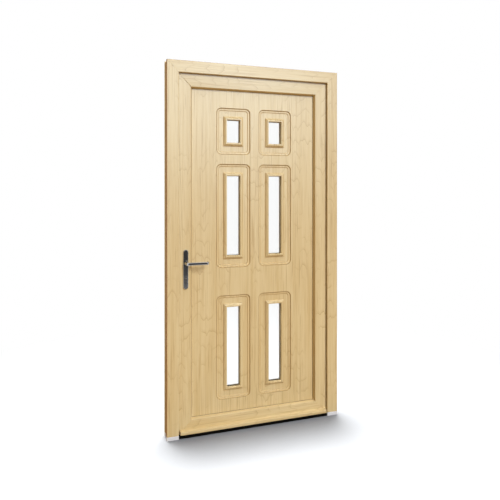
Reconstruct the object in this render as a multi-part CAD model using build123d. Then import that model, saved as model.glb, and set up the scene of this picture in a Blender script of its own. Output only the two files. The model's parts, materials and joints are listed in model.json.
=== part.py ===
from build123d import *
import math
import os

# Inward opening PVC front door in its frame, in millimetres.
# X runs to the right seen from outside, Y runs inwards, Z is up.
# The origin is on the floor, under the middle of the threshold.

# Outer frame
frame_width = 1050.0
frame_height = 2100.0
frame_depth = 80.0
frame_face = 67.0
frame_web = 46.0
stop_thickness = 11.0
stop_round = 3.0
frame_round = 2.0
wall_groove_width = 34.0
wall_groove_depth = 4.0
fixing_hole_radius = 5.25
fixing_end_distance = 200.0
foot_height = 21.0
threshold_height = 13.0
threshold_setback = 4.0
threshold_bevel = 8.0
frame_gasket_width = 10.0
frame_gasket_thickness = 2.0
frame_gasket_inset = 3.0

# Door leaf
leaf_setback = 18.0
leaf_thickness = 80.0
leaf_gap = 12.0
leaf_visible = 73.0
leaf_bottom = 19.0
leaf_bottom_face = 73.0
lip_depth = 20.0
lip_run = 7.0
lip_round = 3.0
rebate_height = 27.0
flange_thickness = 13.0
flange_lap = 8.0
flange_round = 4.0
mitre_reach = 200.0

# Infill panel, its gasket and its beads
panel_gasket_thickness = 3.0
panel_gasket_show = 0.3
panel_gasket_width = 11.0
panel_thickness = 34.0
panel_edge_gap = 5.0
bead_lip = 5.0
bead_slope_run = 10.0
bead_setback = 3.0

# Sunk fields of the panel and the lights in them
field_width = 206.0
field_spacing = 259.0
field_corner = 29.0
field_wall_run = 2.5
field_step_depth = 3.5
field_land = 9.5
field_head_margin = 105.5
field_foot_margin = 79.5
top_field_height = 269.0
top_row_gap = 55.0
middle_row_gap = 161.0
light_margin = 44.0
light_end_margin = 49.0
cassette_width = 20.5
cassette_height = 11.0
cassette_outer_run = 11.0
cassette_rim = 2.0
cassette_crest = 7.0
cassette_inner_lip = 2.0
cassette_lap = 8.0
glass_edge_gap = 2.0

# Weather bar along the bottom of the leaf
drip_projection = 25.0
drip_back_height = 25.0
drip_nose_height = 16.0
drip_nose_lift = 3.5
drip_end_gap = 8.0
drip_round = 3.0
drip_groove_width = 4.0
drip_groove_depth = 2.0
drip_groove_inset = 4.0

# Lock, backplates and levers
handle_inset = 108.0
handle_height = 972.0
plate_width = 30.0
plate_above = 75.0
plate_below = 147.0
plate_thickness = 8.0
plate_bevel_depth = 2.5
plate_bevel_run = 3.5
neck_radius = 9.0
neck_clearance = 0.5
neck_length = 44.0
neck_end_gap = 0.5
lever_length = 121.5
lever_height = 17.0
lever_thickness = 11.0
lever_chamfer = 3.5
lever_bend = 16.0
lever_return = 12.0
spindle_side = 8.0
spindle_hole_radius = 7.0
cylinder_drop = 82.0
cylinder_radius = 8.5
cylinder_tail_width = 10.0
cylinder_height = 33.0
cylinder_clearance = 0.3
cylinder_projection = 3.0
keyway_width = 1.8
keyway_height = 9.0
keyway_depth = 4.0
faceplate_width = 16.0
faceplate_thickness = 3.0
faceplate_end_gap = 130.0
bolt_slot_width = 9.0
bolt_slot_height = 36.0
latch_slot_height = 26.0
latch_lift = 8.0
hook_distance = 600.0
keep_width = 22.0
keep_thickness = 2.0
keep_margin = 30.0
keep_pocket_depth = 14.0

# Hinges
hinge_axis_inset = 27.0
hinge_axis_offset = 5.0
hinge_end_distance = 240.0
hinge_barrel_radius = 8.5
hinge_middle_length = 50.0
hinge_end_length = 26.0
hinge_knuckle_gap = 0.6
hinge_pin_radius = 4.0
hinge_pin_clearance = 0.25
hinge_frame_plate_thickness = 6.0
hinge_frame_plate_width = 30.0
hinge_frame_plate_edge = 3.0
hinge_leaf_plate_thickness = 4.0
hinge_leaf_plate_width = 36.0
hinge_leaf_plate_inset = 2.0
hinge_plate_chamfer = 3.0

# Places worked out from the sizes above
frame_out = -frame_depth / 2
frame_in = frame_depth / 2
half_width = frame_width / 2
stop_back = frame_out + stop_thickness
leaf_out = frame_out + leaf_setback
leaf_in = leaf_out + leaf_thickness
leaf_edge = frame_web + leaf_gap
leaf_inner = frame_face + leaf_visible
lip_end = leaf_inner + lip_run
rebate_floor = lip_end - rebate_height
flange_edge = frame_web - flange_lap
flange_out = leaf_in - flange_thickness
lip_back = leaf_out + lip_depth
panel_out = lip_back + panel_gasket_thickness
panel_in = panel_out + panel_thickness
panel_edge = rebate_floor + panel_edge_gap
leaf_foot_line = leaf_bottom + leaf_bottom_face - leaf_inner
field_depth = 2 * field_step_depth
floor_out = panel_out + field_depth
floor_in = panel_in - field_depth
handle_x = -half_width + handle_inset
cylinder_z = handle_height - cylinder_drop
lock_y = (leaf_out + flange_out) / 2
hinge_heights = (hinge_end_distance, frame_height / 2, frame_height - hinge_end_distance)
hinge_x = half_width - hinge_axis_inset
hinge_y = leaf_in + hinge_axis_offset

# Planes on which the sections of the members are drawn: first the distance
# from the outer edge of the frame, then the depth
left_plane = Plane((-half_width, 0, 0), x_dir=(1, 0, 0), z_dir=(0, 0, 1))
top_plane = Plane((-half_width, 0, frame_height), x_dir=(0, 0, -1), z_dir=(1, 0, 0))
bottom_plane = Plane((half_width, 0, leaf_foot_line), x_dir=(0, 0, 1), z_dir=(-1, 0, 0))
elevation = Plane((0, 0, 0), x_dir=(1, 0, 0), z_dir=(0, -1, 0))


def save(shape, node):
    export_step(shape, "parts/" + node + ".step")


def box(low, high):
    size = Vector(*high) - Vector(*low)
    middle = (Vector(*high) + Vector(*low)) / 2
    return Pos(middle.X, middle.Y, middle.Z) * Box(size.X, size.Y, size.Z)


def section(points, rounds=()):
    face = make_face(Polyline(*points, close=True))
    for point, radius in rounds:
        corner = face.vertices().sort_by_distance((point[0], point[1], 0))[0]
        face = fillet(corner, radius)
    return face


def wedge(points):
    # A slab through the whole depth, with its outline given in X and Z
    reach = frame_depth + leaf_thickness
    outline = elevation * make_face(Polyline(*points, close=True))
    return extrude(outline, amount=reach, both=True)


def rectangle(width, height, depth, x, z):
    # A rectangle in the plane of the door, at the given depth
    return Plane((x, depth, z), x_dir=(1, 0, 0), z_dir=(0, -1, 0)) * Rectangle(width, height)


def mirror_side(shape):
    return mirror(shape, about=Plane.YZ)


def jamb_wedge():
    # Keeps the left jamb: mitred at its head, square where it stands on its foot
    return wedge([
        (-half_width, foot_height),
        (-half_width, frame_height),
        (-half_width + mitre_reach, frame_height - mitre_reach),
        (-half_width + mitre_reach, foot_height),
    ])


def stile_wedge():
    # Keeps the left stile of the leaf: mitred at its head and at its foot
    return wedge([
        (-half_width, leaf_bottom),
        (-half_width, frame_height),
        (-half_width + mitre_reach, frame_height - mitre_reach),
        (-half_width + mitre_reach, leaf_foot_line + mitre_reach),
        (-half_width + leaf_bottom - leaf_foot_line, leaf_bottom),
    ])


def head_wedge():
    return wedge([
        (-half_width, frame_height),
        (half_width, frame_height),
        (half_width - mitre_reach, frame_height - mitre_reach),
        (-half_width + mitre_reach, frame_height - mitre_reach),
    ])


def foot_wedge():
    start = leaf_bottom - leaf_foot_line
    top = leaf_foot_line + mitre_reach
    return wedge([
        (-half_width + start, leaf_bottom),
        (half_width - start, leaf_bottom),
        (half_width - mitre_reach, top),
        (-half_width + mitre_reach, top),
    ])


def frame_section():
    groove = wall_groove_width / 2
    return section(
        [
            (0, frame_out),
            (frame_face, frame_out),
            (frame_face, stop_back),
            (frame_web, stop_back),
            (frame_web, frame_in),
            (0, frame_in),
            (0, groove),
            (wall_groove_depth, groove),
            (wall_groove_depth, -groove),
            (0, -groove),
        ],
        [
            ((0, frame_out), frame_round),
            ((frame_face, frame_out), stop_round),
            ((frame_web, frame_in), frame_round),
        ],
    )


def leaf_section():
    return section(
        [
            (leaf_edge, leaf_out),
            (leaf_inner, leaf_out),
            (lip_end, lip_back),
            (rebate_floor, lip_back),
            (rebate_floor, leaf_in),
            (flange_edge, leaf_in),
            (flange_edge, flange_out),
            (leaf_edge, flange_out),
        ],
        [
            ((leaf_inner, leaf_out), lip_round),
            ((flange_edge, leaf_in), flange_round),
        ],
    )


def bead_section():
    face = leaf_in - bead_setback
    end = lip_end - bead_setback
    return section([
        (rebate_floor, panel_in),
        (end, panel_in),
        (end, panel_in + bead_lip),
        (end - bead_slope_run, face),
        (rebate_floor, face),
    ])


def upright(profile):
    return extrude(left_plane * profile, amount=frame_height)


def head_bar(profile):
    return extrude(top_plane * profile, amount=frame_width)


def foot_bar(profile):
    return extrude(bottom_plane * profile, amount=frame_width)


def fixing_heights():
    # Four screws up each jamb, evenly spaced
    reach = frame_height - 2 * fixing_end_distance
    return [fixing_end_distance + reach * step / 3 for step in range(4)]


def fixing_hole(z):
    plane = Plane((-half_width, 0, z), x_dir=(0, 1, 0), z_dir=(1, 0, 0))
    return extrude(plane * Circle(fixing_hole_radius), amount=frame_web)


def frame_members():
    profile = frame_section()
    jamb = upright(profile) & jamb_wedge()
    head = head_bar(profile) & head_wedge()
    foot = extrude(left_plane * profile, amount=foot_height)
    for z in fixing_heights():
        jamb -= fixing_hole(z)
    save(jamb - keep_pockets(), "frame_left_jamb")
    save(mirror_side(jamb), "frame_right_jamb")
    save(head, "frame_head")
    save(foot, "left_foot")
    save(mirror_side(foot), "right_foot")


def threshold():
    between_stops = half_width - frame_face
    between_webs = half_width - frame_web
    front = frame_out + threshold_setback
    base = box((-between_stops, front, 0), (between_stops, stop_back, threshold_height))
    base += box((-between_webs, stop_back, 0), (between_webs, frame_in, threshold_height))
    ramp = base.edges().filter_by(Axis.X).group_by(Axis.Z)[-1].sort_by(Axis.Y)[0]
    return chamfer(ramp, threshold_bevel, threshold_bevel / 2)


def frame_gasket():
    # A strip round three sides, on the back of the stop
    outer = frame_face - frame_gasket_inset - frame_gasket_width
    inner = frame_face - frame_gasket_inset
    strip = section([
        (outer, stop_back),
        (inner, stop_back),
        (inner, stop_back + frame_gasket_thickness),
        (outer, stop_back + frame_gasket_thickness),
    ])
    side = upright(strip) & jamb_wedge()
    head = head_bar(strip) & head_wedge()
    return side + head + mirror_side(side)


def leaf_members():
    profile = leaf_section()
    stile = upright(profile) & stile_wedge()
    top = head_bar(profile) & head_wedge()
    bottom = foot_bar(profile) & foot_wedge()
    lock_stile = stile - faceplate_pocket() - spindle_hole() - cylinder_hole()
    save(lock_stile, "leaf_lock_stile")
    save(mirror_side(stile), "leaf_hinge_stile")
    save(top, "leaf_top_rail")
    save(bottom, "leaf_bottom_rail")


def beads():
    profile = bead_section()
    side = upright(profile) & stile_wedge()
    save(side, "bead_left")
    save(mirror_side(side), "bead_right")
    save(head_bar(profile) & head_wedge(), "bead_top")
    save(foot_bar(profile) & foot_wedge(), "bead_bottom")


def panel_outline(inset, low, high):
    # A block between two depths, its edge set in from the frame's outer edge
    return box(
        (-half_width + inset, low, leaf_foot_line + inset),
        (half_width - inset, high, frame_height - inset),
    )


def panel_gasket():
    inner = lip_end + panel_gasket_show
    ring = panel_outline(inner - panel_gasket_width, lip_back, panel_out)
    return ring - panel_outline(inner, lip_back, panel_out)


def field_rows():
    # The two lower rows share the height that the top row and the gaps leave
    head = frame_height - leaf_inner - field_head_margin
    foot = leaf_bottom + leaf_bottom_face + field_foot_margin
    tall = (head - foot - top_field_height - top_row_gap - middle_row_gap) / 2
    middle_low = foot + tall + middle_row_gap
    yield "top", head - top_field_height, head
    yield "middle", middle_low, middle_low + tall
    yield "bottom", foot, foot + tall


def field_places():
    for row, low, high in field_rows():
        for side, x in (("left", -field_spacing / 2), ("right", field_spacing / 2)):
            yield row + "_" + side, x, (low + high) / 2, high - low


def field_recess(x, z, height, face, inwards):
    # Two sloping walls with a narrow land between them
    slope = math.degrees(math.atan2(field_wall_run, field_step_depth))

    def step(inset, depth):
        plane = Plane((x, face + inwards * depth, z), x_dir=(1, 0, 0), z_dir=(0, inwards, 0))
        outline = RectangleRounded(field_width - 2 * inset, height - 2 * inset, field_corner - inset)
        return extrude(plane * outline, amount=field_step_depth, taper=slope)

    return step(0, 0) + step(field_wall_run + field_land, field_step_depth)


def light_size(height):
    return field_width - 2 * light_margin, height - 2 * light_end_margin


def door_panel():
    panel = panel_outline(panel_edge, panel_out, panel_in)
    for _, x, z, height in field_places():
        width, length = light_size(height)
        hole = (width - 2 * cassette_lap, length - 2 * cassette_lap)
        panel -= field_recess(x, z, height, panel_out, 1)
        panel -= field_recess(x, z, height, panel_in, -1)
        panel -= box(
            (x - hole[0] / 2, panel_out, z - hole[1] / 2),
            (x + hole[0] / 2, panel_in, z + hole[1] / 2),
        )
    return panel


def cassette(x, z, height, floor, outwards):
    # A mitred moulding on the floor of a field: a low rim, a slope up to the
    # crest, and a steep inner side down to the glass that it holds
    width, length = light_size(height)

    def outline(inset, rise):
        return rectangle(width - 2 * inset, length - 2 * inset, floor + outwards * rise, x, z)

    def layer(inset, rise, next_inset, next_rise):
        return loft([outline(inset, rise), outline(next_inset, next_rise)])

    crest_end = cassette_outer_run + cassette_crest
    ring = layer(0, 0, 0, cassette_rim)
    ring += layer(0, cassette_rim, cassette_outer_run, cassette_height)
    ring -= layer(crest_end, cassette_height, cassette_width, cassette_inner_lip)
    return ring - layer(cassette_width, cassette_inner_lip, cassette_width, 0)


def lights():
    inside = []
    for name, x, z, height in field_places():
        width, length = light_size(height)
        inset = cassette_lap + glass_edge_gap
        glass = box(
            (x - width / 2 + inset, floor_out, z - length / 2 + inset),
            (x + width / 2 - inset, floor_in, z + length / 2 - inset),
        )
        save(glass, "glass_" + name)
        save(cassette(x, z, height, floor_out, -1), "cassette_" + name)
        inside.append(cassette(x, z, height, floor_in, 1))
    save(Compound(inside), "inside_cassettes")


def drip_rail():
    # The bar slopes to a rounded nose and has a drip groove underneath
    nose = leaf_out - drip_projection
    nose_low = leaf_bottom + drip_nose_lift
    groove = nose + drip_groove_inset
    profile = section(
        [
            (leaf_out, leaf_bottom),
            (leaf_out, leaf_bottom + drip_back_height),
            (nose, nose_low + drip_nose_height),
            (nose, nose_low),
            (groove, nose_low),
            (groove, nose_low + drip_groove_depth),
            (groove + drip_groove_width, nose_low + drip_groove_depth),
            (groove + drip_groove_width, leaf_bottom),
        ],
        [((nose, nose_low + drip_nose_height), drip_round)],
    )
    half_length = half_width - frame_face - drip_end_gap
    plane = Plane((-half_length, 0, 0), x_dir=(0, 1, 0), z_dir=(1, 0, 0))
    return extrude(plane * profile, amount=2 * half_length)


def along_depth(sketch, low, high):
    # A prism in Y whose outline is drawn in X and Z about the lever axis
    plane = Plane((handle_x, low, handle_height), x_dir=(1, 0, 0), z_dir=(0, 1, 0))
    return extrude(plane * mirror(sketch, about=Plane.XZ), amount=high - low)


def cylinder_outline(clearance):
    # Round barrel with a straight tail below it
    tail = cylinder_height - cylinder_radius
    outline = Circle(cylinder_radius + clearance)
    tail_shape = Rectangle(
        cylinder_tail_width + 2 * clearance, tail + clearance, align=(Align.CENTER, Align.MAX)
    )
    return Pos(0, -cylinder_drop) * (outline + tail_shape)


def spindle_hole():
    return along_depth(Circle(spindle_hole_radius), leaf_out, leaf_in)


def cylinder_hole():
    return along_depth(cylinder_outline(cylinder_clearance), leaf_out, leaf_in)


def backplate(face, outwards):
    low, high = sorted((face, face + outwards * plate_thickness))
    middle = (plate_above - plate_below) / 2
    outline = Pos(0, middle) * SlotOverall(plate_above + plate_below, plate_width, rotation=90)
    plate = along_depth(outline, low, high)
    face_shown = plate.faces().sort_by(Axis.Y)[0 if outwards < 0 else -1]
    plate = chamfer(face_shown.edges(), plate_bevel_depth, plate_bevel_run, reference=face_shown)
    plate -= along_depth(Circle(neck_radius + neck_clearance), low, high)
    return plate - along_depth(cylinder_outline(cylinder_clearance), low, high)


def lever(face, outwards):
    # A round neck, then a flattened grip that turns back to the door at its tip
    start = face + outwards * neck_end_gap
    knee = face + outwards * (plate_thickness + neck_length)
    bend_start = knee - outwards * lever_bend
    neck = along_depth(Circle(neck_radius), *sorted((start, bend_start)))
    path = FilletPolyline(
        (handle_x, bend_start - outwards, handle_height),
        (handle_x, knee, handle_height),
        (handle_x + lever_length, knee, handle_height),
        (handle_x + lever_length, bend_start - outwards * lever_return, handle_height),
        radius=lever_bend,
    )
    bar = Rectangle(lever_thickness, lever_height)
    bar = chamfer(bar.vertices(), lever_chamfer)
    grip = sweep(Plane(path @ 0, x_dir=(1, 0, 0), z_dir=path % 0) * bar, path=path)
    return neck + grip


def spindle():
    outline = Rectangle(spindle_side, spindle_side)
    return along_depth(outline, leaf_out - neck_end_gap, leaf_in + neck_end_gap)


def lock_cylinder():
    reach = plate_thickness + cylinder_projection
    low = leaf_out - reach
    high = leaf_in + reach
    body = along_depth(cylinder_outline(0), low, high)
    slot = Pos(0, -cylinder_drop) * Rectangle(keyway_width, keyway_height)
    body -= along_depth(slot, low, low + keyway_depth)
    return body - along_depth(slot, high - keyway_depth, high)


def bolt_slots():
    # Heights and lengths of the openings for the latch, the bolt and the hooks
    yield handle_height + latch_lift, latch_slot_height
    yield cylinder_z, bolt_slot_height
    yield cylinder_z - hook_distance, bolt_slot_height
    yield cylinder_z + hook_distance, bolt_slot_height


def edge_plate(edge, thickness, width, low, high):
    # A strip in the plane of the leaf's lock edge
    return box((edge, lock_y - width / 2, low), (edge + thickness, lock_y + width / 2, high))


def slot_cut(edge, depth, z, height):
    return edge_plate(edge, depth, bolt_slot_width, z - height / 2, z + height / 2)


def faceplate_pocket():
    low = leaf_bottom + faceplate_end_gap
    high = frame_height - leaf_edge - faceplate_end_gap
    return edge_plate(-half_width + leaf_edge, faceplate_thickness, faceplate_width, low, high)


def lock_faceplate():
    plate = faceplate_pocket()
    for z, height in bolt_slots():
        plate -= slot_cut(-half_width + leaf_edge, faceplate_thickness, z, height)
    return plate


def keep_spans():
    # The keep at the lock takes latch and bolt, and each hook has its own
    latch_top = handle_height + latch_lift + latch_slot_height / 2
    half = bolt_slot_height / 2
    yield cylinder_z - half - keep_margin, latch_top + keep_margin
    for z in (cylinder_z - hook_distance, cylinder_z + hook_distance):
        yield z - half - keep_margin, z + half + keep_margin


def keep_blanks():
    edge = -half_width + frame_web - keep_thickness
    return [edge_plate(edge, keep_thickness, keep_width, low, high) for low, high in keep_spans()]


def lock_keeps():
    edge = -half_width + frame_web - keep_thickness
    plates = []
    for plate in keep_blanks():
        for z, height in bolt_slots():
            plate -= slot_cut(edge, keep_thickness, z, height)
        plates.append(plate)
    return Compound(plates)


def keep_pockets():
    back = -half_width + frame_web - keep_thickness - keep_pocket_depth
    pockets = Part() + keep_blanks()
    for z, height in bolt_slots():
        pockets += slot_cut(back, keep_pocket_depth, z, height)
    return pockets


def upright_cylinder(radius, low, high):
    return extrude(Plane((hinge_x, hinge_y, low)) * Circle(radius), amount=high - low)


def hinge_levels():
    half = hinge_middle_length / 2
    inner = half + hinge_knuckle_gap
    return half, inner, inner + hinge_end_length


def hinge_frame_part(z):
    # A plate on the frame that carries the two outer knuckles
    half, inner, outer = hinge_levels()
    right = half_width - hinge_frame_plate_edge
    back = frame_in + hinge_frame_plate_thickness
    plate = box((right - hinge_frame_plate_width, frame_in, z - outer), (right, back, z + outer))
    shape = chamfer(plate.edges().filter_by(Axis.Y), hinge_plate_chamfer)
    for low, high in ((-outer, -inner), (inner, outer)):
        shape += box(
            (hinge_x - hinge_barrel_radius, back, z + low),
            (hinge_x + hinge_barrel_radius, hinge_y, z + high),
        )
        shape += upright_cylinder(hinge_barrel_radius, z + low, z + high)
    bore = hinge_pin_radius + hinge_pin_clearance
    for low, high in ((-outer, -inner), (inner, outer)):
        shape -= upright_cylinder(bore, z + low, z + high)
    return shape


def hinge_leaf_part(z):
    # A plate on the leaf with the middle knuckle and the pin through all three
    half, inner, outer = hinge_levels()
    right = half_width - flange_edge - hinge_leaf_plate_inset
    back = leaf_in + hinge_leaf_plate_thickness
    plate = box((right - hinge_leaf_plate_width, leaf_in, z - outer), (right, back, z + outer))
    shape = chamfer(plate.edges().filter_by(Axis.Y), hinge_plate_chamfer)
    arm_back = hinge_y + hinge_barrel_radius / 2
    shape += box((right - hinge_barrel_radius, leaf_in, z - half), (hinge_x, arm_back, z + half))
    shape += upright_cylinder(hinge_barrel_radius, z - half, z + half)
    return shape + upright_cylinder(hinge_pin_radius, z - outer, z + outer)


def hinges():
    for number, z in enumerate(hinge_heights, start=1):
        save(hinge_frame_part(z), "hinge_frame_part_" + str(number))
        save(hinge_leaf_part(z), "hinge_leaf_part_" + str(number))


def main():
    os.makedirs("parts", exist_ok=True)
    frame_members()
    save(threshold(), "threshold")
    save(frame_gasket(), "frame_gasket")
    save(lock_keeps(), "lock_keeps")
    leaf_members()
    beads()
    save(panel_gasket(), "panel_gasket")
    save(door_panel(), "door_panel")
    lights()
    save(drip_rail(), "drip_rail")
    save(backplate(leaf_out, -1), "outside_backplate")
    save(backplate(leaf_in, 1), "inside_backplate")
    save(lever(leaf_out, -1), "outside_lever")
    save(lever(leaf_in, 1), "inside_lever")
    save(spindle(), "spindle")
    save(lock_cylinder(), "lock_cylinder")
    save(lock_faceplate(), "lock_faceplate")
    hinges()


main()
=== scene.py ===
import bpy
import bmesh
import json
import math
from mathutils import Matrix, Vector

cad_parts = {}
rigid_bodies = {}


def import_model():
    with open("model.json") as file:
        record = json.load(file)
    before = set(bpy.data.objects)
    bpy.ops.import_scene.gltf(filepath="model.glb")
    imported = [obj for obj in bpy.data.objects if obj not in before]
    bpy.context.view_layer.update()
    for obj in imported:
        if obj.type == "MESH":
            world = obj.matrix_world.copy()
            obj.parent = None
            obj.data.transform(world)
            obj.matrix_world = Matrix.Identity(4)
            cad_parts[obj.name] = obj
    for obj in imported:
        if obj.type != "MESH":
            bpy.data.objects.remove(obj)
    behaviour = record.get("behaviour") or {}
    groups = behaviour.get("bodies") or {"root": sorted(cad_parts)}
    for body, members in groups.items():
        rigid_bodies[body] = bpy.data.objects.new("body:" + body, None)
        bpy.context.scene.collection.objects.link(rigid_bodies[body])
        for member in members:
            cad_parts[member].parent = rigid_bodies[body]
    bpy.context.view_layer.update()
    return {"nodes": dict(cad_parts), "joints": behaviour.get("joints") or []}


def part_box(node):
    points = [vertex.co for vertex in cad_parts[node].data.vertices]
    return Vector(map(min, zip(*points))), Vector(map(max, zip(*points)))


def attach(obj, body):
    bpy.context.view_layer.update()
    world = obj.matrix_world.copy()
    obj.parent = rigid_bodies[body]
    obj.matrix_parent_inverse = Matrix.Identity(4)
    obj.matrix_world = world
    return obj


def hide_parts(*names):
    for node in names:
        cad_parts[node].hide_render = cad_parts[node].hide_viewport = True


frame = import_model()
nodes = frame["nodes"]
print("frame loaded:", len(nodes), "nodes")

rows = ["top", "middle", "bottom"]
sides = ["left", "right"]
lights = [row + "_" + side for row in rows for side in sides]


# Shader helpers
def addNode(tree, kind, settings=None, **inputs):
    made = tree.nodes.new("ShaderNode" + kind)
    for key, value in (settings or {}).items():
        setattr(made, key, value)
    for key, value in inputs.items():
        socket = made.inputs[int(key[1:]) if key[1:].isdigit() else key.replace("_", " ")]
        if isinstance(value, bpy.types.NodeSocket):
            tree.links.new(value, socket)
        else:
            socket.default_value = value
    return made


def startMaterial(name):
    material = bpy.data.materials.new(name)
    material.use_nodes = True
    tree = material.node_tree
    return material, tree, tree.nodes["Principled BSDF"]


def linkTo(tree, output, shader, socket):
    tree.links.new(output, shader.inputs[socket])


def stretched(tree, coords, turn, shift, scale):
    turned = addNode(tree, "Mapping", Vector=coords, Rotation=turn, Location=shift)
    return addNode(tree, "Mapping", Vector=turned.outputs[0], Scale=scale).outputs[0]


def noise(tree, coords, scale, detail=2.0, roughness=0.5):
    made = addNode(tree, "TexNoise", Vector=coords, Scale=scale, Detail=detail, Roughness=roughness)
    return made.outputs["Fac"]


def ramp(tree, factor, *stops):
    made = addNode(tree, "ValToRGB", Fac=factor)
    elements = made.color_ramp.elements
    while len(elements) < len(stops):
        elements.new(0.5)
    for element, (place, value) in zip(elements, stops):
        element.position = place
        element.color = value if isinstance(value, tuple) else (value, value, value, 1)
    return made.outputs["Color"]


def math2(tree, operation, first, second):
    return addNode(tree, "Math", {"operation": operation}, _0=first, _1=second).outputs[0]


def mixColour(tree, factor, first, second):
    return addNode(tree, "Mix", {"data_type": "RGBA"}, _0=factor, _6=first, _7=second).outputs[2]


def smoothRange(tree, value, **ends):
    return addNode(tree, "MapRange", {"interpolation_type": "SMOOTHSTEP"}, Value=value, **ends).outputs[0]


def glossBy(tree, shader, factor, roughness):
    gloss = addNode(tree, "MapRange", Value=factor, To_Min=roughness[0], To_Max=roughness[1])
    linkTo(tree, gloss.outputs[0], shader, "Roughness")


def bumpBy(tree, shader, factor, strength, depth):
    bump = addNode(tree, "Bump", Height=factor, Strength=strength, Distance=depth)
    linkTo(tree, bump.outputs[0], shader, "Normal")


# Maple foil: soft streaks along the grain, thin V-shaped flames in patches, fine pores
maple = {
    "pale": (0.725, 0.563, 0.290, 1),
    "warm": (0.640, 0.462, 0.206, 1),
    "flame": (0.46, 0.285, 0.105, 1),
    "flameAmount": 0.68,
    "flamePitch": 0.085,        # metres between two flames along the grain
    "flameReach": 1.5,          # how steep their sides are
    "lineAmount": 0.50,         # thin dark lines along the grain
    # Each noise: scale along the grain (less is longer), scale in all, detail and roughness
    "broad": (0.06, 18, 2.0, 0.5), "streak": (0.03, 90, 2.0, 0.55), "fibre": (0.03, 430, 2.0, 0.6),
    "bow": (0.12, 20, 1.0, 0.4), "patch": (0.30, 14, 1.0, 0.5), "thread": (0.022, 190, 1.0, 0.5),
    "shares": (0.45, 0.40, 0.15),       # of broad, streak and fibre in the tone
    "toneEnds": (0.35, 0.61), "patchEnds": (0.48, 0.64), "threadEnds": (0.59, 0.70),
    "flameEdge": ((0.0, 0.0), (0.72, 0.0), (0.93, 0.32), (1.0, 1.0)),       # its strength from one flame to the next
    "roughness": (0.40, 0.50),
    "sheen": 0.3,
    "poreStrength": 0.35, "poreDepth": 0.00008,
}
upright = (0, 0, 0)
level = (0, math.radians(90), 0)        # turns the grain along X


def mapleFoil(name, turn, shift, shade=(1, 1, 1)):
    material, tree, shader = startMaterial(name)
    coords = addNode(tree, "TexCoord").outputs["Object"]

    def along(stretch):
        return stretched(tree, coords, turn, shift, (1, 1, stretch))

    def pattern(key):
        stretch, *settings = maple[key]
        return noise(tree, along(stretch), *settings)

    def between(ends, factor, first, second):
        return ramp(tree, factor, (maple[ends][0], first), (maple[ends][1], second))

    layers = [pattern(key) for key in ("broad", "streak", "fibre")]
    fibre = layers[-1]
    bow = math2(tree, "SUBTRACT", pattern("bow"), 0.5)
    bow = math2(tree, "ABSOLUTE", bow, 0.0)         # sharp at the foot of each V
    height = addNode(tree, "SeparateXYZ", Vector=along(1 / maple["flamePitch"])).outputs["Z"]
    rings = math2(tree, "SUBTRACT", math2(tree, "MULTIPLY", bow, maple["flameReach"] * 2), height)
    flames = ramp(tree, math2(tree, "FRACT", rings, 0.0), *maple["flameEdge"])
    shown = between("patchEnds", pattern("patch"), 0.0, 1.0)
    lines = between("threadEnds", pattern("thread"), 0.0, maple["lineAmount"])
    tones = [math2(tree, "MULTIPLY", layer, share) for layer, share in zip(layers, maple["shares"])]
    tone = math2(tree, "ADD", math2(tree, "ADD", tones[0], tones[1]), tones[2])
    # shade dims both tones; the moulding walls use it as painted shade
    warm, pale = [tuple(part * dim for part, dim in zip(maple[key], shade + (1,))) for key in ("warm", "pale")]
    body = between("toneEnds", tone, warm, pale)
    amount = math2(tree, "MULTIPLY", math2(tree, "MULTIPLY", flames, shown), maple["flameAmount"])
    amount = math2(tree, "MAXIMUM", amount, lines)
    linkTo(tree, mixColour(tree, amount, body, maple["flame"]), shader, "Base Color")
    glossBy(tree, shader, fibre, maple["roughness"])
    shader.inputs["Specular IOR Level"].default_value = maple["sheen"]
    bumpBy(tree, shader, fibre, maple["poreStrength"], maple["poreDepth"])
    return material


# Plain finishes
texture = {
    "ends": (0.3, 0.7),         # the noise goes from dark to light between these
    "speckle": (3.0, 0.6), "brush": (900, 2.0, 0.6),        # detail and roughness, the brush also has its scale
    "bump": 0.3,
}
satin = {
    "tints": ((0.988, 0.994, 0.991, 1), (0.994, 0.998, 0.996, 1)), "tintScale": 14,
    "frost": (0.30, 0.38), "frostScale": 900, "detail": 2.0,
    "index": 1.2,       # low, so that the panes mirror little
}


def tintBy(tree, shader, factor, dark, light):
    first, last = texture["ends"]
    linkTo(tree, ramp(tree, factor, (first, dark), (last, light)), shader, "Base Color")


def speckled(name, dark, light, scale, roughness, metallic=0.0, bump=0.0, shine=0.5):
    material, tree, shader = startMaterial(name)
    coords = addNode(tree, "TexCoord").outputs["Object"]
    grain = noise(tree, coords, scale, *texture["speckle"])
    tintBy(tree, shader, grain, dark, light)
    glossBy(tree, shader, grain, roughness)
    shader.inputs["Metallic"].default_value = metallic
    shader.inputs["Specular IOR Level"].default_value = shine
    if bump:
        bumpBy(tree, shader, grain, texture["bump"], bump)
    return material


def brushed(name, dark, light, along, roughness, metallic=1.0):
    material, tree, shader = startMaterial(name)
    coords = addNode(tree, "TexCoord").outputs["Object"]
    lines = noise(tree, stretched(tree, coords, (0, 0, 0), (0, 0, 0), along), *texture["brush"])
    tintBy(tree, shader, lines, dark, light)
    glossBy(tree, shader, lines, roughness)
    shader.inputs["Metallic"].default_value = metallic
    return material


def satinPane(name):
    material, tree, shader = startMaterial(name)
    coords = addNode(tree, "TexCoord").outputs["Object"]
    tintBy(tree, shader, noise(tree, coords, satin["tintScale"], satin["detail"]), *satin["tints"])
    shader.inputs["Transmission Weight"].default_value = 1.0
    glossBy(tree, shader, noise(tree, coords, satin["frostScale"], satin["detail"]), satin["frost"])
    shader.inputs["IOR"].default_value = satin["index"]
    return material


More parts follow.
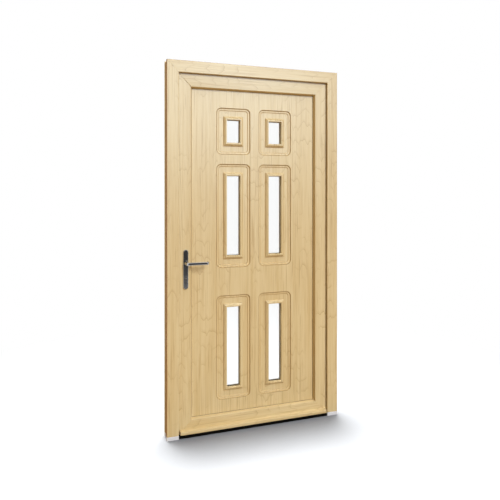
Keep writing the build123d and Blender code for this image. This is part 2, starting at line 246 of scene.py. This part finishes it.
jambFoil = mapleFoil("jambFoil", upright, (0.31, 0.2, 0.6))
stileFoil = mapleFoil("stileFoil", upright, (1.37, 0.7, 0.15))
panelFoil = mapleFoil("panelFoil", upright, (2.21, 0.4, 0.9))
paintedShadeFoil = mapleFoil("paintedShadeFoil", upright, (2.21, 0.4, 0.9), (0.88, 0.80, 0.69))     # darker in the mouldings: painted shade on the recess walls
headFoil = mapleFoil("headFoil", level, (0.83, 0.5, 0.4))
railFoil = mapleFoil("railFoil", level, (1.62, 0.9, 0.1))
# Brown PVC core colour, also darkened to serve as painted shade on the frame's wall side
brownCoreAndPaintedShade = speckled("brownCoreAndPaintedShade", (0.36, 0.165, 0.060, 1), (0.43, 0.205, 0.078, 1), 240, (0.55, 0.65), shine=0.05)
# Black for keyways and screw slots: painted shade of these recesses
paintedSlotShade = speckled("paintedSlotShade", (0.006, 0.006, 0.006, 1), (0.014, 0.013, 0.012, 1), 500, (0.55, 0.7),
                       bump=0.00005)
blackThreshold = speckled("blackThreshold", (0.003, 0.003, 0.002, 1), (0.006, 0.005, 0.004, 1), 300, (0.5, 0.62),
                          bump=0.00004, shine=0.1)
brownRubber, umberRubber, tanRubber = [
    speckled(name, dark, light, 500, (0.6, 0.75), bump=0.00005, shine=0.2) for name, dark, light in [
        ("brownRubber", (0.036, 0.021, 0.011, 1), (0.060, 0.034, 0.017, 1)),
        ("umberRubber", (0.170, 0.108, 0.048, 1), (0.220, 0.140, 0.064, 1)),
        ("tanRubber", (0.44, 0.31, 0.15, 1), (0.52, 0.37, 0.19, 1))]]
silverFoot = brushed("silverFoot", (0.90, 0.89, 0.87, 1), (0.97, 0.96, 0.94, 1), (1, 1, 0.05), (0.32, 0.42), 0.22)
polishedHandle = speckled("polishedHandle", (0.50, 0.50, 0.51, 1), (0.57, 0.57, 0.58, 1), 160, (0.10, 0.16), 1.0)
lockSteel = brushed("lockSteel", (0.52, 0.52, 0.52, 1), (0.64, 0.64, 0.64, 1), (1, 1, 0.02), (0.25, 0.36))
hingePaint = speckled("hingePaint", (0.46, 0.46, 0.47, 1), (0.53, 0.53, 0.54, 1), 700, (0.36, 0.46), 0.35, 0.00004)
satinGlass = satinPane("satinGlass")
paleSpacer = speckled("paleSpacer", (0.82, 0.81, 0.79, 1), (0.90, 0.89, 0.87, 1), 300, (0.5, 0.6))
print("finishes made")


# Mesh helpers
mend = {
    "weld": 0.000005, "flat": 1.0,              # closer points are joined, and flatter edges (degrees) dissolved
    "sharp": 40.0,                              # degrees from which an edge is shaded sharp
    "soften": 35.0, "softenMitred": 50.0,       # degrees from which an edge is rounded
    "mitreSlack": 0.05, "mitreLength": 0.01,    # how exactly a mitre lies at 45 degrees, and its least length
}


def finishPiece(bm, name, materials, body, replaced=(), weighted=False):
    mesh = bpy.data.meshes.new(name)
    bm.to_mesh(mesh)
    bm.free()
    for material in materials:
        mesh.materials.append(material)
    mesh.shade_smooth()
    mesh.set_sharp_from_angle(angle=math.radians(mend["sharp"]))
    piece = bpy.data.objects.new(name, mesh)
    bpy.context.scene.collection.objects.link(piece)
    if weighted:
        normals = piece.modifiers.new("normals", "WEIGHTED_NORMAL")
        normals.keep_sharp = True
    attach(piece, body)
    if replaced:
        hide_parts(*replaced)
    return piece


def onlyVerts(geometry):
    return [item for item in geometry if isinstance(item, bmesh.types.BMVert)]


def onlyEdges(geometry):
    return [item for item in geometry if isinstance(item, bmesh.types.BMEdge)]


def flatFace(bm, low, high, y, grow=(0, 0)):
    size = (high.x - low.x + 2 * grow[0], high.z - low.z + 2 * grow[1])
    place = Matrix.Translation(((low.x + high.x) / 2, y, (low.z + high.z) / 2))
    place = place @ Matrix.Rotation(math.radians(90), 4, "X") @ Matrix.Diagonal((size[0], size[1], 1, 1))
    made = bmesh.ops.create_grid(bm, x_segments=1, y_segments=1, size=0.5, matrix=place)
    return made["verts"][0].link_faces[0]       # faces the outside, towards -Y


def block(bm, low, high):
    low, high = Vector(low), Vector(high)
    size = high - low
    place = Matrix.Translation((low + high) / 2) @ Matrix.Diagonal((size.x, size.y, size.z, 1))
    return bmesh.ops.create_cube(bm, size=1, matrix=place)["verts"]


def copyNode(node):
    bm = bmesh.new()
    bm.from_mesh(nodes[node].data)
    bmesh.ops.remove_doubles(bm, verts=bm.verts, dist=mend["weld"])
    bmesh.ops.dissolve_limit(bm, angle_limit=math.radians(mend["flat"]), verts=bm.verts, edges=bm.edges)
    return bm


def dropFace(bm, face):
    bmesh.ops.delete(bm, geom=[face], context="FACES_ONLY")


def mirrorDepth(bm, low, high, verts):
    middle = Matrix.Translation((0, -(low.y + high.y) / 2, 0))
    bmesh.ops.scale(bm, vec=(1, -1, 1), space=middle, verts=verts)


def bevelEdges(bm, edges, width, segments):
    bmesh.ops.bevel(bm, geom=edges, offset=width, offset_type="OFFSET", segments=segments, profile=0.5,
                    affect="EDGES", material=-1, clamp_overlap=False)


def softenEdges(bm, width, segments=2, sharpest=mend["soften"]):
    sharp = [edge for edge in bm.edges
             if len(edge.link_faces) == 2 and edge.calc_face_angle() > math.radians(sharpest)]
    bevelEdges(bm, sharp, width, segments)


def grooveMitres(bm, width):
    slanted = []
    for edge in bm.edges:
        run = (edge.verts[1].co - edge.verts[0].co).normalized()
        slanting = abs(run.y) < mend["mitreSlack"] and abs(abs(run.x) - abs(run.z)) < mend["mitreSlack"]
        if slanting and edge.calc_length() > mend["mitreLength"]:
            slanted.append(edge)
    bevelEdges(bm, slanted, width, 1)


def keepInside(bm, node):
    low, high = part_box(node)
    for vert in bm.verts:       # a bevel can push the tip of a mitre out
        vert.co = [min(max(part, least), most) for part, least, most in zip(vert.co, low, high)]


def softCopy(node, name, materials, body, width, segments=2, mitre=0.0):
    bm = copyNode(node)
    if mitre:
        grooveMitres(bm, mitre)
    softenEdges(bm, width, segments, mend["softenMitred"] if mitre else mend["soften"])
    keepInside(bm, node)
    return finishPiece(bm, name, materials, body, [node], weighted=True)


def recolour(node, material):
    nodes[node].data.materials.clear()
    nodes[node].data.materials.append(material)


# Frame and leaf members
members = {
    "edge": 0.0008,
    "mitre": 0.0009,        # each side of the groove along a welded corner
    "coreShadeDepth": 0.006,     # wall side faces that lie within this of the outer edge take the brown core, partly painted shade
    "coreShadeFacing": 0.3,      # and face the wall at least this much
    "foilWrap": 0.0,        # the foil wraps the wall side from here inwards; in front of it lie the brown core and painted shade
    "cut": 0.000001,
}


def frameMember(node, name, foil, wallSide):
    bm = copyNode(node)
    grooveMitres(bm, members["mitre"])
    softenEdges(bm, members["edge"], 2, mend["softenMitred"])
    keepInside(bm, node)
    bmesh.ops.bisect_plane(bm, geom=bm.verts[:] + bm.edges[:] + bm.faces[:], dist=members["cut"],
                           plane_co=(0, members["foilWrap"], 0), plane_no=(0, 1, 0))
    low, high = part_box(node)
    reach = wallSide @ (low if sum(wallSide) < 0 else high)
    # The front half of the wall side gets the brown core: partly the real core, partly painted shade
    for face in bm.faces:
        middle = face.calc_center_median()
        onWall = reach - wallSide @ middle < members["coreShadeDepth"]
        if onWall and wallSide @ face.normal > members["coreShadeFacing"] and middle.y < members["foilWrap"]:
            face.material_index = 1
    return finishPiece(bm, name, [foil, brownCoreAndPaintedShade], "frame", [node], weighted=True)


frameMember("frame_left_jamb", "leftJamb", jambFoil, Vector((-1, 0, 0)))
frameMember("frame_right_jamb", "rightJamb", jambFoil, Vector((1, 0, 0)))
frameMember("frame_head", "head", headFoil, Vector((0, 0, 1)))
for node in ["left_foot", "right_foot"]:
    softCopy(node, node.replace("_foot", "Foot"), [silverFoot], "frame", members["edge"])
softCopy("threshold", "thresholdBar", [blackThreshold], "frame", members["edge"])
for node, name, foil in [("leaf_lock_stile", "lockStile", stileFoil), ("leaf_hinge_stile", "hingeStile", stileFoil),
                         ("leaf_top_rail", "topRail", railFoil), ("leaf_bottom_rail", "bottomRail", railFoil),
                         ("bead_left", "leftBead", stileFoil), ("bead_right", "rightBead", stileFoil),
                         ("bead_top", "topBead", railFoil), ("bead_bottom", "bottomBead", railFoil)]:
    softCopy(node, name, [foil], "leaf", members["edge"], 2, members["mitre"])
softCopy("drip_rail", "dripRail", [railFoil], "leaf", members["edge"])
recolour("frame_gasket", brownRubber)
recolour("panel_gasket", umberRubber)
print("frame and leaf members softened")


# Moulded panel
panel = {
    "sideMargin": 0.044, "endMargin": 0.049,    # from a cassette to the edge of its field
    "corner": 0.029, "cornerSegments": 9,
    "wallRuns": (0.0050, 0.0034), "wallDepths": (0.0058, 0.0034), "wallSteps": 6,
    "land": 0.0080,
    "holeLap": 0.008,                           # how far a cassette covers the panel
}


def wallSteps(wall):
    run, depth = panel["wallRuns"][wall], panel["wallDepths"][wall]
    count = panel["wallSteps"]
    curve = [t * t * (3 - 2 * t) for t in (step / count for step in range(count + 1))]
    return [(run / count, depth * (b - a)) for a, b in zip(curve, curve[1:])]


def sinkField(bm, low, high, panelOut):
    face = flatFace(bm, low, high, panelOut, (panel["sideMargin"], panel["endMargin"]))
    made = bmesh.ops.bevel(bm, geom=list(face.verts), offset=panel["corner"], offset_type="OFFSET",
                           segments=panel["cornerSegments"], profile=0.5, affect="VERTICES", material=-1)
    face = made["verts"][0].link_faces[0]
    rim = list(face.edges)
    for run, drop in wallSteps(0) + [(panel["land"], 0)] + wallSteps(1):
        strip = bmesh.ops.inset_individual(bm, faces=[face], thickness=run, depth=-drop, use_even_offset=True)
        # the sloping walls take the second foil, darkened as painted shade
        for side in strip["faces"]:
            side.material_index = 1 if drop else 0
    inside = list(face.edges)
    floor = face.verts[0].co.y
    dropFace(bm, face)
    hole = flatFace(bm, low, high, floor, (-panel["holeLap"], -panel["holeLap"]))
    edge = list(hole.edges)
    dropFace(bm, hole)
    bmesh.ops.triangle_fill(bm, use_beauty=True, edges=inside + edge, normal=(0, -1, 0))
    return rim, edge


def mouldedPanel():
    low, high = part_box("door_panel")
    bm = bmesh.new()
    loops, rims = [], []
    for light in lights:
        rim, hole = sinkField(bm, *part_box("cassette_" + light), low.y)
        rims += rim
        loops.append(hole)
    sheet = flatFace(bm, low, high, low.y)
    border = list(sheet.edges)
    loops.append(border)
    dropFace(bm, sheet)
    bmesh.ops.triangle_fill(bm, use_beauty=True, edges=rims + border, normal=(0, -1, 0))
    copy = bmesh.ops.duplicate(bm, geom=bm.verts[:] + bm.edges[:] + bm.faces[:])
    mirrorDepth(bm, low, high, onlyVerts(copy["geom"]))
    for loop in loops:
        bmesh.ops.bridge_loops(bm, edges=loop + [copy["edge_map"][edge] for edge in loop])
    bmesh.ops.recalc_face_normals(bm, faces=bm.faces)
    return finishPiece(bm, "mouldedPanel", [panelFoil, paintedShadeFoil], "leaf", ["door_panel"], weighted=True)


mouldedPanel()
print("panel moulded")


# Cassettes, sealed units and their seals
cassette = {
    "profile": [(0.0, 0.0018), (0.0006, 0.0007), (0.0034, 0.0027), (0.0036, 0.0029), (0.0028, 0.0024),
                (0.0006, 0.0004), (0.0033, 0.0001), (0.0033, -0.0001), (0.0006, -0.0005), (0.0018, -0.0064),
                (0.0005, -0.0020)],     # run inwards and rise of each strip
    "leastRun": 0.000001,
}
unit = {
    "pane": 0.004, "edge": 0.0003,
    "spacerInset": 0.0005, "spacerWidth": 0.0032,
    "sealWidth": 0.0014, "sealRise": 0.0012, "sealTuck": 0.0008,
}


def cassetteRing(bm, low, high, floor):
    face = flatFace(bm, low, high, floor)
    extra = floor - high.y      # the first strip also comes up out of the field
    for run, rise in cassette["profile"]:
        bmesh.ops.inset_individual(bm, faces=[face], thickness=max(run, cassette["leastRun"]),
                                   depth=rise + extra, use_even_offset=True)
        extra = 0
    dropFace(bm, face)


def flatRing(bm, low, high, near, far, inset, width):
    face = flatFace(bm, low, high, far, (-inset, -inset))
    ring = bmesh.ops.inset_individual(bm, faces=[face], thickness=width, depth=0, use_even_offset=True)["faces"]
    dropFace(bm, face)
    made = bmesh.ops.extrude_face_region(bm, geom=ring)["geom"]
    bmesh.ops.translate(bm, vec=(0, near - far, 0), verts=onlyVerts(made))


def sealedUnit(bm, low, high):
    block(bm, low, (high.x, low.y + unit["pane"], high.z))
    block(bm, (low.x, high.y - unit["pane"], low.z), high)
    softenEdges(bm, unit["edge"], 1)


def glazeLights():
    insideRings, spacers, seals = bmesh.new(), bmesh.new(), bmesh.new()
    opening = sum(run for run, rise in cassette["profile"]) - unit["sealTuck"]
    panelLow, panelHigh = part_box("door_panel")
    fieldFloor = panelLow.y + sum(panel["wallDepths"])
    for light in lights:
        low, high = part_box("cassette_" + light)
        paneLow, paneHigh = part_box("glass_" + light)
        ring = bmesh.new()
        cassetteRing(ring, low, high, fieldFloor)
        finishPiece(ring, "cassette." + light, [panelFoil], "leaf", ["cassette_" + light], weighted=True)
        cassetteRing(insideRings, low, high, fieldFloor)
        panes = bmesh.new()
        sealedUnit(panes, paneLow, paneHigh)
        finishPiece(panes, "sealedUnit." + light, [satinGlass], "leaf", ["glass_" + light])
        flatRing(spacers, paneLow, paneHigh, paneLow.y + unit["pane"], paneHigh.y - unit["pane"],
                 unit["spacerInset"], unit["spacerWidth"])
        flatRing(seals, low, high, paneLow.y - unit["sealRise"], paneLow.y, opening, unit["sealWidth"])
        flatRing(seals, low, high, paneHigh.y, paneHigh.y + unit["sealRise"], opening, unit["sealWidth"])
    mirrorDepth(insideRings, panelLow, panelHigh, insideRings.verts)
    for bm in (insideRings, spacers, seals):
        bmesh.ops.recalc_face_normals(bm, faces=bm.faces)
    softenEdges(seals, unit["edge"], 2)
    finishPiece(insideRings, "insideCassettes", [panelFoil], "leaf", ["inside_cassettes"], weighted=True)
    finishPiece(spacers, "glassSpacers", [paleSpacer], "leaf")
    finishPiece(seals, "glassSeals", [tanRubber], "leaf")


glazeLights()
print("lights glazed")


# Handle and lock
lever = {
    "segments": 32,
    "bend": 0.016, "bendSteps": 10,
    "thickness": 0.011, "height": 0.017,
    "taper": 0.92,          # the grip gets a little slimmer to its tip
    "flare": 0.006,         # length over which the round neck flattens
    "squareTop": 1.6, "squareFoot": 6.0,        # 2 is an oval grip, less slants its flanks, more makes it square
    "tipReturn": 0.012, "tipRound": 0.0018, "tipSegments": 3,
}


def leverPiece(node, name, outwards):
    low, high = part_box(node)
    pivot = Vector(frame["joints"][1]["pos_m"])
    neckRadius = (high.z - low.z) / 2
    start = high.y if outwards < 0 else low.y
    knee = (low.y if outwards < 0 else high.y) - outwards * lever["thickness"] / 2
    bendY = knee - outwards * lever["bend"]
    tipX = high.x - lever["thickness"] / 2
    quarter = math.radians(-90) * outwards
    bm = bmesh.new()
    place = Matrix.Translation((pivot.x, start, pivot.z)) @ Matrix.Rotation(math.radians(90), 4, "X")
    bmesh.ops.create_circle(bm, cap_ends=True, segments=lever["segments"], radius=neckRadius, matrix=place)

    def pull(edges, vector):
        made = bmesh.ops.extrude_edge_only(bm, edges=edges)["geom"]
        bmesh.ops.translate(bm, vec=vector, verts=onlyVerts(made))
        return onlyEdges(made), onlyVerts(made)

    def bend(edges, x):
        made = bmesh.ops.spin(bm, geom=edges, cent=(x, bendY, pivot.z), axis=(0, 0, 1), angle=quarter,
                              steps=lever["bendSteps"], use_duplicate=False)
        return onlyEdges(made["geom_last"])

    ring, _ = pull(bm.edges[:], (0, bendY - outwards * lever["flare"] - start, 0))
    ring, verts = pull(ring, (0, outwards * lever["flare"], 0))
    flatten = (lever["thickness"] / 2 / neckRadius, 1, lever["height"] / 2 / neckRadius)
    for vert in verts:
        across, up = (vert.co.x - pivot.x) / neckRadius, (vert.co.z - pivot.z) / neckRadius
        power = lever["squareTop"] if up > 0 else lever["squareFoot"]
        swell = (abs(across) ** power + abs(up) ** power) ** (-1 / power)
        vert.co.x, vert.co.z = pivot.x + across * swell * neckRadius, pivot.z + up * swell * neckRadius
    bmesh.ops.scale(bm, vec=flatten, space=Matrix.Translation((-pivot.x, -bendY, -pivot.z)), verts=verts)
    ring = bend(ring, pivot.x + lever["bend"])
    ring, verts = pull(ring, (tipX - pivot.x - 2 * lever["bend"], 0, 0))
    bmesh.ops.scale(bm, vec=(1, lever["taper"], lever["taper"]),
                    space=Matrix.Translation((0, -knee, -pivot.z)), verts=verts)
    ring = bend(ring, tipX - lever["bend"])
    ring, _ = pull(ring, (0, -outwards * lever["tipReturn"], 0))
    cap = bmesh.ops.contextual_create(bm, geom=ring)["faces"]
    bevelEdges(bm, list(cap[0].edges), lever["tipRound"], lever["tipSegments"])
    bmesh.ops.recalc_face_normals(bm, faces=bm.faces)
    return finishPiece(bm, name, [polishedHandle], "handle", [node])


fittings = {"plateEdge": 0.0022, "plateSegments": 4, "lockEdge": 0.0003, "hingeEdge": 0.0007}
leverPiece("outside_lever", "outsideLever", -1)
leverPiece("inside_lever", "insideLever", 1)
for node, name in [("outside_backplate", "outsidePlate"), ("inside_backplate", "insidePlate")]:
    softCopy(node, name, [polishedHandle], "leaf", fittings["plateEdge"],
             fittings["plateSegments"])
softCopy("lock_cylinder", "lockCylinder", [polishedHandle], "leaf", fittings["lockEdge"], 1)
softCopy("lock_faceplate", "lockFaceplate", [lockSteel], "leaf", fittings["lockEdge"], 1)
softCopy("lock_keeps", "lockKeeps", [lockSteel], "frame", fittings["lockEdge"], 1)
recolour("spindle", lockSteel)
print("handle and lock made")


# Hinges
for number in (1, 2, 3):
    for part in ["frame", "leaf"]:
        node = "hinge_%s_part_%d" % (part, number)
        softCopy(node, "hinge%s.%d" % (part.capitalize(), number), [hingePaint], part,
                 fittings["hingeEdge"])
print("hinges made")


# Cylinder plugs, each with a black block as painted shade for its keyway
plug = {
    "radius": 0.0050, "rim": 0.0006, "rise": 0.0005, "segments": 28,
    "keyWidth": 0.0013, "keyHeight": 0.0078, "keyProud": 0.0001,
}


def useSecond(verts):
    for vert in verts:
        for side in vert.link_faces:
            side.material_index = 1


def cylinderPlugs():
    low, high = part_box("lock_cylinder")
    x = (low.x + high.x) / 2
    z = high.z - (high.x - low.x) / 2
    bm = bmesh.new()
    for face, outwards in [(low.y, -1), (high.y, 1)]:
        turn = Matrix.Translation((x, face + outwards * plug["rise"] / 2, z))
        turn = turn @ Matrix.Rotation(math.radians(-90) * outwards, 4, "X")
        bmesh.ops.create_cone(bm, cap_ends=True, segments=plug["segments"], radius1=plug["radius"],
                              radius2=plug["radius"] - plug["rim"], depth=plug["rise"], matrix=turn)
        # The keyway is a black block just proud of the plug: painted shade of the slot
        top = face + outwards * (plug["rise"] + plug["keyProud"])
        key = block(bm, (x - plug["keyWidth"] / 2, face, z - plug["keyHeight"] / 2),
                    (x + plug["keyWidth"] / 2, top, z + plug["keyHeight"] / 2))
        useSecond(key)
    bmesh.ops.recalc_face_normals(bm, faces=bm.faces)
    finishPiece(bm, "cylinderPlugs", [polishedHandle, paintedSlotShade], "leaf")


cylinderPlugs()


# Screw heads whose cross slot is two black blocks, painted shade of the recess
screw = {
    "radius": 0.0034, "top": 0.0025, "height": 0.0013, "segments": 20,
    "slotLength": 0.0040, "slotWidth": 0.0008, "slotHeight": 0.0002,
    "plateInset": 0.017, "keepInset": 0.009,                # from the ends of a plate or keep
    "faceplateShares": (-0.93, -0.3, 0.3, 0.93),            # of half the length
    "hingeShares": (-0.33, 0.33),                           # of the whole height
    "hingePlaces": [("frame", 0.515, 0.046), ("leaf", 0.463, 0.062)],
    "keepGap": 0.1,                                         # keeps lie at least this far apart
}


def addScrew(bm, place, outwards):
    spot = Matrix.Translation(place) @ Vector((0, 0, 1)).rotation_difference(Vector(outwards)).to_matrix().to_4x4()
    lift = Matrix.Translation((0, 0, screw["height"] / 2))
    bmesh.ops.create_cone(bm, cap_ends=True, segments=screw["segments"], radius1=screw["radius"],
                          radius2=screw["top"], depth=screw["height"], matrix=spot @ lift)
    # two black blocks across the top: painted shade of the cross slot
    for angle in (0, 90):
        slot = spot @ Matrix.Translation((0, 0, screw["height"])) @ Matrix.Rotation(math.radians(angle), 4, "Z")
        slot = slot @ Matrix.Diagonal((screw["slotLength"], screw["slotWidth"], screw["slotHeight"], 1))
        useSecond(bmesh.ops.create_cube(bm, size=1, matrix=slot)["verts"])


def screwRow(name, body, places, outwards):
    bm = bmesh.new()
    for place in places:
        addScrew(bm, place, outwards)
    return finishPiece(bm, name, [lockSteel, paintedSlotShade], body)


def islandHeights(node):
    heights = sorted(vert.co.z for vert in nodes[node].data.vertices)
    runs = [[heights[0], heights[0]]]
    for z in heights:
        if z - runs[-1][1] > screw["keepGap"]:
            runs.append([z, z])
        runs[-1][1] = z
    return runs


low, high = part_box("inside_backplate")
heights = (low.z + screw["plateInset"], high.z - screw["plateInset"])
screwRow("plateScrews", "leaf", [((low.x + high.x) / 2, high.y, z) for z in heights], (0, 1, 0))
low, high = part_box("lock_faceplate")
middle, reach = (low + high) / 2, (high.z - low.z) / 2
heights = [middle.z + reach * share for share in screw["faceplateShares"]]
screwRow("faceplateScrews", "leaf", [(low.x, middle.y, z) for z in heights], (-1, 0, 0))
low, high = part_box("lock_keeps")
heights = [z for first, last in islandHeights("lock_keeps")
           for z in (first + screw["keepInset"], last - screw["keepInset"])]
screwRow("keepScrews", "frame", [(high.x, (low.y + high.y) / 2, z) for z in heights], (1, 0, 0))
for number in (1, 2, 3):
    for part, x, y in screw["hingePlaces"]:
        low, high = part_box("hinge_%s_part_%d" % (part, number))
        heights = [(low.z + high.z) / 2 + (high.z - low.z) * share for share in screw["hingeShares"]]
        screwRow("hingeScrews%s.%d" % (part.capitalize(), number), part, [(x, y, z) for z in heights], (0, 1, 0))
print("lock details made")


# Stage, light and camera
stage = {
    "floorSize": 60.0, "floorSeen": (0.254, 0.260, 0.268, 1), "floorBounce": (0.088, 0.060, 0.034, 1),
    "floorGrain": 40, "floorDim": 0.99, "floorRoughness": 0.9,
    "fadeFrom": 1.4, "fadeTo": 2.5,     # the floor goes over to plain white this far from the door
    "fill": (1.0, 0.84, 0.60, 1), "fillStrength": 0.15,
    # Metal mirrors a darker room in front of the door: how dark, and where on the floor and in the sky it starts
    "roomShade": 0.06, "roomFloor": (-2.0, -5.0), "roomSky": (-0.3, -0.75),
    # Far lamps: where the light comes from, softness in degrees, power, colour
    "key": ((0.25, -0.81, 0.45), 25.0, 2.34, (0.96, 1.0, 1.10)),
    "side": ((-0.93, -0.30, 0.20), 50.0, 0.25, (1.0, 0.85, 0.66)),
    "top": ((0.10, -0.30, 0.95), 50.0, 1.0, (0.96, 1.0, 1.10)),
    "inner": ((-0.55, 0.65, 0.52), 40.0, 1.6, (0.96, 0.97, 1.0)),
    "panelPlace": (0.85, -3.2, 2.9), "panelAim": (0.0, 0.0, 1.6), "panelSize": 2.4, "panelPower": 360.0,
    "panelColour": (0.78, 1.0, 1.10),
    "floorTilt": 6.5, "floorSpread": 13.0, "floorPower": 11.9,      # degrees behind the door, and its softness
}
view = {
    "place": (-1.027, -2.867, 1.383),
    "yaw": 19.2,            # turned to the right of straight ahead
    "focal": 517.0, "frameWidth": 500.0, "horizon": 189.5,      # pixels of the photo
    "sensor": 36.0,
}


def showsBackground(tree):
    path = addNode(tree, "LightPath").outputs
    direct = math2(tree, "MAXIMUM", path["Is Camera Ray"], path["Is Transmission Ray"])
    mirrored = math2(tree, "MULTIPLY", path["Is Glossy Ray"],
                     math2(tree, "SUBTRACT", 1.0, path["Is Transmission Ray"]))
    return direct, math2(tree, "MAXIMUM", direct, mirrored), mirrored


def roomStrength(tree, depth, ends, mirrored):
    # Plain white, but a mirror that faces the room in front of the door sees it darker
    near, far = ends
    shade = smoothRange(tree, depth, From_Min=far, From_Max=near, To_Min=1 - stage["roomShade"], To_Max=0.0)
    return math2(tree, "SUBTRACT", 1.0, math2(tree, "MULTIPLY", shade, mirrored))


def paleFloor():
    material, tree, shader = startMaterial("paleFloor")
    coords = addNode(tree, "TexCoord").outputs["Object"]
    direct, seen, mirrored = showsBackground(tree)
    pale = stage["floorSeen"]
    dim = tuple(part * stage["floorDim"] for part in pale)
    first, last = texture["ends"]
    grain = ramp(tree, noise(tree, coords, stage["floorGrain"]), (first, dim), (last, pale))
    linkTo(tree, mixColour(tree, direct, stage["floorBounce"], grain), shader, "Base Color")
    shader.inputs["Roughness"].default_value = stage["floorRoughness"]
    shader.inputs["Specular IOR Level"].default_value = 0.0
    distance = addNode(tree, "VectorMath", {"operation": "LENGTH"}, _0=coords).outputs["Value"]
    fade = smoothRange(tree, distance, From_Min=stage["fadeFrom"], From_Max=stage["fadeTo"])
    depth = addNode(tree, "SeparateXYZ", Vector=coords).outputs["Y"]
    glow = addNode(tree, "Emission", Strength=roomStrength(tree, depth, stage["roomFloor"], mirrored))
    both = addNode(tree, "MixShader", _0=math2(tree, "MULTIPLY", fade, seen), _1=shader.outputs[0], _2=glow.outputs[0])
    tree.links.new(both.outputs[0], tree.nodes["Material Output"].inputs["Surface"])
    bm = bmesh.new()
    bmesh.ops.create_grid(bm, x_segments=1, y_segments=1, size=stage["floorSize"] / 2)
    mesh = bpy.data.meshes.new("floor")
    bm.to_mesh(mesh)
    bm.free()
    mesh.materials.append(material)
    floor = bpy.data.objects.new("floor", mesh)
    bpy.context.scene.collection.objects.link(floor)
    return floor


def addLamp(name, kind, power):
    lamp = bpy.data.lights.new(name, kind)
    lamp.energy = power
    box = bpy.data.objects.new(name, lamp)
    box.visible_transmission = False        # the panes show the plain background
    bpy.context.scene.collection.objects.link(box)
    return box


def softBox(name, place, aim, size, power):
    box = addLamp(name, "AREA", power)
    box.data.shape = "DISK"
    box.data.size = size
    box.location = place
    box.rotation_euler = (Vector(aim) - Vector(place)).to_track_quat("-Z", "Y").to_euler()
    return box


def farLamp(name, towards, softness, power, colour=(1, 1, 1)):
    lamp = addLamp(name, "SUN", power)
    lamp.data.color = colour
    lamp.data.angle = math.radians(softness)
    lamp.rotation_euler = Vector(towards).to_track_quat("Z", "Y").to_euler()
    return lamp


def shineOnly(lamp, pieces):
    lit = bpy.data.collections.new(lamp.name + "Only")
    for piece in pieces:
        lit.objects.link(piece)
    lamp.light_linking.receiver_collection = lit


def whiteWorld():
    world = bpy.data.worlds.new("studio")
    bpy.context.scene.world = world
    world.use_nodes = True
    tree = world.node_tree
    tree.nodes.clear()
    fill = addNode(tree, "Background", Color=stage["fill"], Strength=stage["fillStrength"])
    _, seen, mirrored = showsBackground(tree)
    facing = addNode(tree, "SeparateXYZ", Vector=addNode(tree, "TexCoord").outputs["Generated"]).outputs["Y"]
    strength = roomStrength(tree, facing, stage["roomSky"], mirrored)
    white = addNode(tree, "Background", Color=(1, 1, 1, 1), Strength=strength)
    both = addNode(tree, "MixShader", _0=seen, _1=fill.outputs[0], _2=white.outputs[0])
    output = addNode(tree, "OutputWorld")
    tree.links.new(both.outputs[0], output.inputs["Surface"])


def placeCamera():
    lens = bpy.data.cameras.new("camera")
    lens.sensor_width = view["sensor"]
    lens.lens = view["focal"] / view["frameWidth"] * lens.sensor_width
    lens.shift_y = (view["horizon"] - view["frameWidth"] / 2) / view["frameWidth"]
    camera = bpy.data.objects.new("camera", lens)
    camera.location = view["place"]
    camera.rotation_euler = (math.radians(90), 0, -math.radians(view["yaw"]))
    bpy.context.scene.collection.objects.link(camera)
    bpy.context.scene.camera = camera


floor = paleFloor()
whiteWorld()
keyLight, sideLight, topLight, innerLight = [farLamp(name + "Light", *stage[name])
                                              for name in ("key", "side", "top", "inner")]
shineOnly(innerLight, [piece for piece in bpy.data.objects if piece.type == "MESH" and piece != floor])
blockers = bpy.data.collections.new("blockers")      # all but the panes, which let side and inner light through
for piece in bpy.data.objects:
    if piece.type == "MESH" and not piece.name.startswith("sealedUnit"):
        blockers.objects.link(piece)
for lamp in (sideLight, innerLight):
    lamp.light_linking.blocker_collection = blockers
for lamp in (keyLight, topLight, sideLight, innerLight):
    lamp.visible_glossy = False         # the metal mirrors the room, not the lamps
sheenPanel = softBox("sheenPanel", stage["panelPlace"], stage["panelAim"], stage["panelSize"], stage["panelPower"])
sheenPanel.data.color = stage["panelColour"]
sheenPanel.visible_diffuse = False      # a card that only shows in the gloss of the foil
shineOnly(sheenPanel, [piece for piece in bpy.data.objects if piece.type == "MESH" and piece.data.materials
                       and piece.data.materials[0].name.endswith("Foil")])
tilt = math.radians(stage["floorTilt"])
floorLamp = farLamp("floorLamp", (0, math.sin(tilt), math.cos(tilt)), stage["floorSpread"], stage["floorPower"])
shineOnly(floorLamp, [floor])       # it whitens the floor and leaves the door alone
placeCamera()
bpy.context.scene.view_settings.view_transform = "Standard"
print("stage set")
